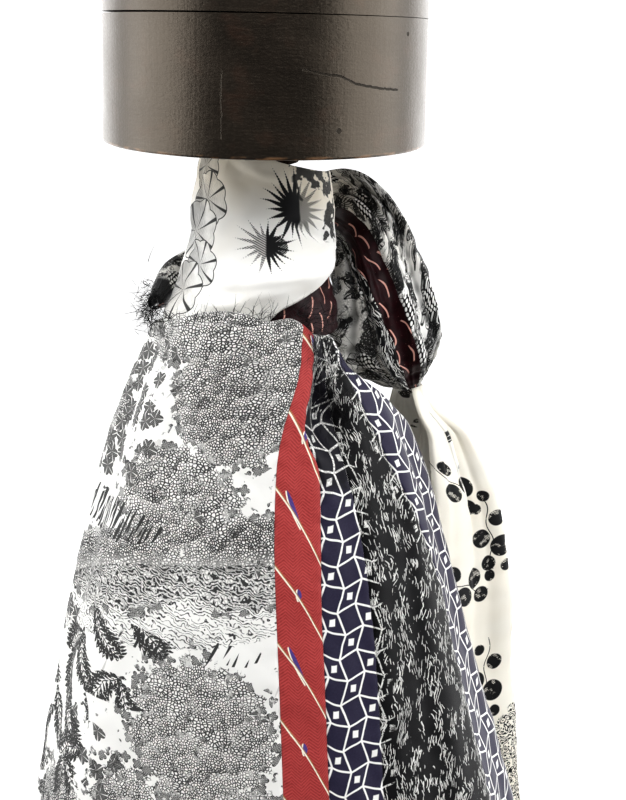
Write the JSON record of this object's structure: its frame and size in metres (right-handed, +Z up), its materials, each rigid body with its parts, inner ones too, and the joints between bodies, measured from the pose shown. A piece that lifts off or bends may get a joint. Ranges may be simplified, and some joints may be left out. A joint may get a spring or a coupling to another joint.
{
  "type": "patchwork silk scarf wound on a wooden hat stand",
  "caption": "Long patchwork silk scarf wound round the neck of a turned wooden hat stand, its front end hanging in a flared panel and its cream end falling behind from a gathered loop.",
  "frame": {"origin": "centre of the foot's flat underside, on the stand's axis", "axes": "+Z up along the stand's axis, -Y towards the side that the front panel hangs on, +X towards the gathered loop"},
  "size_m": [0.3414, 0.3, 0.786],
  "materials": {
    "toile_cotton": "matt woven cloth with a fine engraved print",
    "red_tie_silk": "herringbone silk with thin curved stripes",
    "navy_tie_silk": "twill silk with a light net of lines",
    "dark_print_silk": "silk printed with short light strokes",
    "maroon_tie_silk": "dark silk with thin light lines",
    "cream_print_silk": "soft cream silk with dark leaf and flower motifs",
    "dark_wood": "old waxed turned wood"
  },
  "bodies": {
    "root": {"front_toile": "toile_cotton", "front_red_strip": "red_tie_silk", "front_navy_strip": "navy_tie_silk", "front_dark_strip": "dark_print_silk", "front_navy_edge": "navy_tie_silk", "neck_wrap_front": "cream_print_silk", "neck_wrap_back": "cream_print_silk", "neck_under_wrap": "maroon_tie_silk", "roll_inner_cream": "cream_print_silk", "roll_dark_strip": "dark_print_silk", "roll_maroon_strip": "maroon_tie_silk", "roll_outer_cream": "cream_print_silk", "tail_cream": "cream_print_silk", "stand_foot": "dark_wood", "stand_pole": "dark_wood", "stand_neck": "dark_wood", "stand_collar": "dark_wood", "head_block_lower": "dark_wood", "head_block_upper": "dark_wood"}
  },
  "joints": []
}
